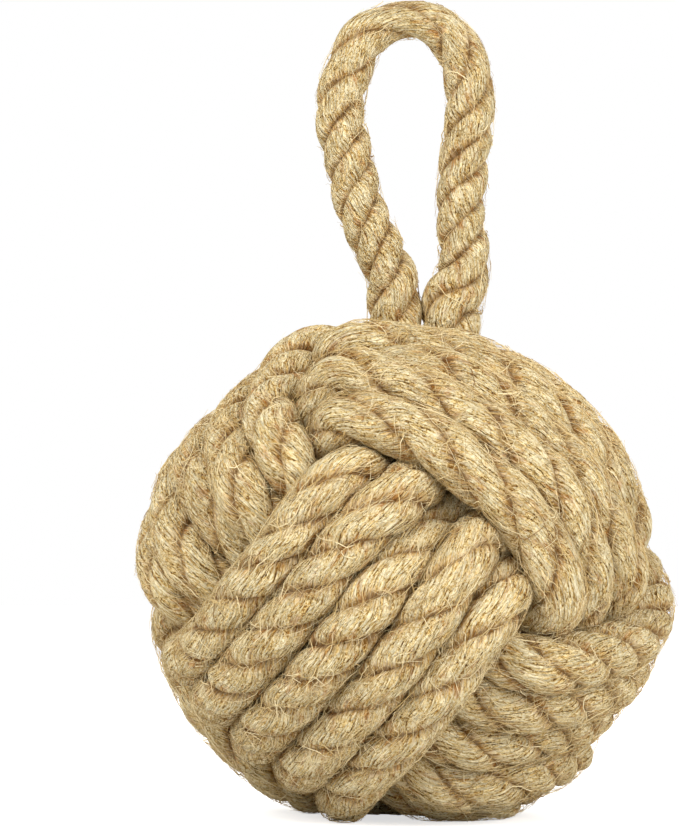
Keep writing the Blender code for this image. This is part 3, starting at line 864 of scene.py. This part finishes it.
class Finish:
    """A material whose nodes are made one after the other and end in its shader."""

    def __init__(self, name, **uniform):
        self.material = bpy.data.materials.new(name)
        self.material.use_nodes = True
        self.tree = self.material.node_tree
        self.shader = self.tree.nodes["Principled BSDF"]
        for socket, value in uniform.items():
            self.shader.inputs[socket.replace("_", " ")].default_value = value

    def node(self, kind, settings, values, output=0):
        """A node with its settings made first, then its sockets' values or links."""
        node = self.tree.nodes.new("ShaderNode" + kind)
        for setting, value in settings.items():
            if setting == "stops":
                ramp = node.color_ramp
                for stop, (place, colour) in enumerate(value):
                    step = ramp.elements[stop] if stop < 2 else ramp.elements.new(place)
                    step.position = place
                    step.color = colour
            else:
                setattr(node, setting, value)
        for socket, value in values.items():
            if isinstance(value, Value):
                self.tree.links.new(value.socket, node.inputs[socket])
            else:
                node.inputs[socket].default_value = value
        return Value(self, node.outputs[output])

    def feed(self, socket, value):
        """Link a value to one of the shader's sockets."""
        self.tree.links.new(value.socket, self.shader.inputs[socket])

    def noise(self, place, scale, detail, roughness):
        """Noise around 0.5 over a place."""
        return self.node("TexNoise", {"noise_dimensions": "3D"}, {
            "Vector": place, "Scale": scale, "Detail": detail, "Roughness": roughness})

    def pattern(self, name, yarn, along):
        """One of the jute's patterns over yarns across and centimetres along."""
        yarns, centimetres, slant, layer, *noise = PATTERNS[name]
        across = yarn * yarns + along * slant if slant else yarn * yarns
        place = {0: across, 1: along * centimetres, 2: layer}
        return self.noise(self.node("CombineXYZ", {}, place), *noise)

    def between(self, value, low, high, most=1.0):
        """0 below the low value, the most above the high one, smooth in between."""
        return self.node("MapRange", {"interpolation_type": "SMOOTHSTEP"},
                         {"Value": value, "From Min": low, "From Max": high, "To Max": most})

    def threads(self, noise, width):
        """Thin curly lines: 1 where a noise crosses its middle, 0 past a small width."""
        return 1 - self.between(abs(noise - 0.5), 0.0, width)

    def mix(self, share, one, other):
        """One colour turned into the other by a share."""
        return self.node("Mix", {"data_type": "RGBA"}, {0: share, 6: one, 7: other}, 2)

    def bump(self, strength, distance, height):
        """A rough surface from heights from 0 to 1."""
        return self.node("Bump", {}, {
            "Strength": strength, "Distance": distance, "Height": height})

    def attribute(self, name):
        """A number kept on the piece's points."""
        return self.node("Attribute", {"attribute_name": name}, {}, 2)


def jute_rope(name):
    """Twisted jute: rounded yarns side by side, each with its own tone and fine fibres
    along it, pale on the crests, with painted shade from brown to dark umber in the grooves and
    crevices, and with rusty patches and specks."""
    finish = Finish(name, Specular_IOR_Level=0.12, Sheen_Weight=0.03, Sheen_Roughness=0.6)
    uv = finish.node("UVMap", {"uv_map": "yarns"}, {})
    yarn = finish.node("SeparateXYZ", {}, {0: uv}, 0)
    along = finish.node("SeparateXYZ", {}, {0: uv}, 1)
    groove = finish.attribute("groove")
    crevice_shade = finish.attribute("crevice_shade")
    shifted = yarn + finish.pattern("drift", yarn, along) * DRIFT_YARNS
    whole = shifted.maths("FLOOR", shifted)
    clear = finish.between(finish.pattern("clear", yarn, along), *CLEAR_EDGES)
    bulge = 1 - clear * abs((shifted - whole) * 2 - 1) ** YARN_ROUND
    own = finish.pattern("own", whole, along)
    fine = finish.pattern("fine", shifted, along)
    streak = finish.pattern("streak", shifted, along)
    felt = finish.threads(finish.pattern("felt", yarn, along), FELT_WIDTH)
    cross = finish.threads(finish.pattern("cross_felt", yarn, along), FELT_WIDTH)
    felt = felt.maths("MAXIMUM", felt, cross)
    # dark curly threads: painted shade beneath the fibres that lie on the surface
    under = finish.threads(finish.pattern("under", yarn, along), SHADE_THREAD_WIDTH)
    fuzz = finish.pattern("fuzz", yarn, along)
    tone, height = TONE, 0.0
    parts = (bulge, own, fine, streak, felt, under, fuzz)
    for part, (middle, in_tone, in_bump) in zip(parts, MIXTURE):
        tone = tone + (part - middle) * in_tone
        height = height + part * in_bump
    colour = finish.node("ValToRGB", {"stops": STRAW}, {0: tone})
    rust = finish.between(finish.pattern("patch", yarn, along), *RUST_PATCH)
    rust = rust + finish.between(finish.pattern("speck", yarn, along), *RUST_SPECK)
    colour = finish.mix(rust * (RUST_ON_CREST + groove * RUST_TO_GROOVE), colour, RUST)
    # painted shade: the strands' grooves and the crevices where turns press are darkened to brown,
    # then dark umber
    spread = finish.pattern("spread", yarn, along)
    inner = groove.maths("MAXIMUM", groove, crevice_shade * CREVICE_SHADE_SHARE)
    inner = inner + (fine - 0.5) * SHADE_FINE + (spread - 0.5) * SHADE_SPREAD
    for low, high, most, shade_colour in GROOVE_SHADES:
        colour = finish.mix(finish.between(inner, low, high, most), colour, shade_colour)
    finish.feed("Base Color", colour)
    finish.feed("Roughness", JUTE_ROUGH - BULGE_SMOOTH * bulge)
    finish.feed("Normal", finish.bump(1.0, JUTE_BUMP, height))
    return finish.material


def loose_jute(name):
    """Single fibres, from pale straw to light brown by their own shade."""
    finish = Finish(name, Roughness=0.7, Specular_IOR_Level=0.3)
    shade = finish.attribute("shade")
    colour = finish.node("ValToRGB", {"stops": LOOSE_STRAW}, {0: shade})
    finish.feed("Base Color", colour)
    return finish.material


def cast_concrete(name):
    """Grey concrete, cloudy and finely pitted."""
    finish = Finish(name, Roughness=0.9, Specular_IOR_Level=0.25)
    place = finish.node("TexCoord", {}, {}, 3)
    cloud = finish.between(finish.noise(place, *CLOUDS), 0.3, 0.7)
    grain = finish.noise(place, *GRAIN)
    pit = finish.between(finish.noise(place, *PITS), 0.62, 0.72)
    colour = finish.mix(cloud, CONCRETE_DARK, CONCRETE_PALE)
    finish.feed("Base Color", finish.mix(pit * 0.6, colour, CONCRETE_DARK))
    finish.feed("Normal", finish.bump(0.6, 0.4 * MM, grain - pit))
    return finish.material


def white_ground(name):
    """A white floor that shows only the shadow on it: what the camera sees directly is
    lifted to white, and the shadow stays darker."""
    finish = Finish(name, Base_Color=(0.8, 0.8, 0.8, 1.0), Roughness=0.9, Specular_IOR_Level=0.1)
    path = finish.tree.nodes.new("ShaderNodeLightPath")
    seen = Value(finish, path.outputs["Is Camera Ray"])
    glow = finish.node("Emission", {}, {
        "Color": (1.0, 1.0, 1.0, 1.0), "Strength": seen * FLOOR_LIFT})
    plain = Value(finish, finish.shader.outputs[0])
    total = finish.node("AddShader", {}, {0: plain, 1: glow})
    finish.tree.links.new(total.socket, finish.tree.nodes["Material Output"].inputs["Surface"])
    return finish.material


def white_world():
    """White where the camera looks past the floor, and soft light from all round."""
    world = bpy.data.worlds.new("studio")
    bpy.context.scene.world = world
    world.use_nodes = True
    tree = world.node_tree
    path = tree.nodes.new("ShaderNodeLightPath")
    plain = tree.nodes["Background"]
    plain.inputs["Color"].default_value = (1.0, 0.99, 0.97, 1.0)
    plain.inputs["Strength"].default_value = WORLD_LIGHT
    white = tree.nodes.new("ShaderNodeBackground")
    white.inputs["Color"].default_value = (1.0, 1.0, 1.0, 1.0)
    mix = tree.nodes.new("ShaderNodeMixShader")
    tree.links.new(path.outputs["Is Camera Ray"], mix.inputs[0])
    tree.links.new(plain.outputs[0], mix.inputs[1])
    tree.links.new(white.outputs[0], mix.inputs[2])
    tree.links.new(mix.outputs[0], tree.nodes["World Output"].inputs[0])


def lamp(name, place, aim, size, power):
    """A square soft light at a place, turned to its aim."""
    light = bpy.data.lights.new(name, "AREA")
    light.size = size
    light.energy = power
    item = placed(name, light)
    item.location = place
    item.rotation_euler = (Vector(aim) - Vector(place)).to_track_quat("-Z", "Y").to_euler()


def camera(middle):
    """The photograph's view: level with the weight's middle, looking along +Y, turned
    until that middle lies where it does in the picture."""
    lens = bpy.data.cameras.new("camera")
    lens.lens = PIXELS_PER_METRE * CAMERA_AWAY / PICTURE[1] * lens.sensor_width
    lens.clip_end = 50.0
    item = placed("camera", lens)
    item.location = Vector(middle) - Vector((0, CAMERA_AWAY, 0))
    right = PICTURE[0] / 2 - MIDDLE_PIXEL[0]
    up = MIDDLE_PIXEL[1] - PICTURE[1] / 2
    aim = Vector((right, PIXELS_PER_METRE * CAMERA_AWAY, up))
    item.rotation_euler = aim.to_track_quat("-Z", "Y").to_euler()
    bpy.context.scene.camera = item


def floor():
    """The floor that the knot stands on."""
    bpy.ops.mesh.primitive_plane_add(size=FLOOR_SIZE, location=(0, 0, -0.1 * MM))
    ground = bpy.context.active_object
    ground.name = "floor"
    ground.data.materials.append(white_ground("white_floor"))


def shown(rope, ring, place, out):
    """Whether a spot is on the knot's outside."""
    far = lengths(rope.line[ring])
    outward = (out * place).sum(1) / lengths(place)
    outside = (far > MIDDLE_LAYER + SHOWN_RISE) & (outward > SHOWN_OUT)
    return outside & (rope.in_loop[ring] < 0.5)


def on_loop(rope, ring, place, out):
    """Whether a spot is on the loop above the knot."""
    return rope.line[ring, 2] > ROOT_HEIGHT - LOOP_FIBRES_DROP


def main():
    bpy.context.scene.view_settings.view_transform = "Standard"
    low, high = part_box("weight_ball")
    middle = (np.array(low) + np.array(high)) / 2
    camera(middle)
    white_world()
    for name, place, size, power in LAMPS:
        lamp(name, place, middle, size, power)
    floor()

    line, parts = whole_rope()
    rope = Rope(line, middle)
    turns_finish = jute_rope("jute_turns")
    loop_finish = jute_rope("jute_loop")
    loose_finish = loose_jute("loose_jute")
    away = lengths(rope.line)
    for name, first, last in zip(("first", "second", "third"), parts[:3], parts[1:4]):
        window = (first + last) // 2 - HALF_TURN_RINGS
        half = window + int(away[window:window + 2 * HALF_TURN_RINGS].argmin())
        for letter, start, end in (("a", first, half), ("b", half, last)):
            piece = rope.piece(name + "_turns_rope_" + letter, start, end, turns_finish)
            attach(piece, "knot")
            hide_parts(name + "_turns")
    loop = rope.piece("handle_loop_rope", parts[3], parts[4], loop_finish)
    foot = (middle[0] + LEGS_BESIDE_MIDDLE, middle[1] + LEGS_BEHIND_MIDDLE)
    start = (*foot, middle[2] + PIVOT_HEIGHT - BEND_REACH)
    end = (*foot, middle[2] + PIVOT_HEIGHT + BEND_REACH)
    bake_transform(loop)
    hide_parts("handle_loop")

    for letter, seed in (("a", 4), ("b", 6), ("c", 7), ("d", 8)):
        fibres = rope.fibres("loose_fibres_knot_" + letter, KNOT_FIBRES, seed, shown, loose_finish)
        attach(fibres, "knot")
    loop_fibres = rope.fibres("loose_fibres_loop", LOOP_FIBRES, 5, on_loop, loose_finish)
    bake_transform(loop_fibres)

    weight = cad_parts["weight_ball"]
    weight.data.materials.clear()
    weight.data.materials.append(cast_concrete("cast_concrete"))


main()
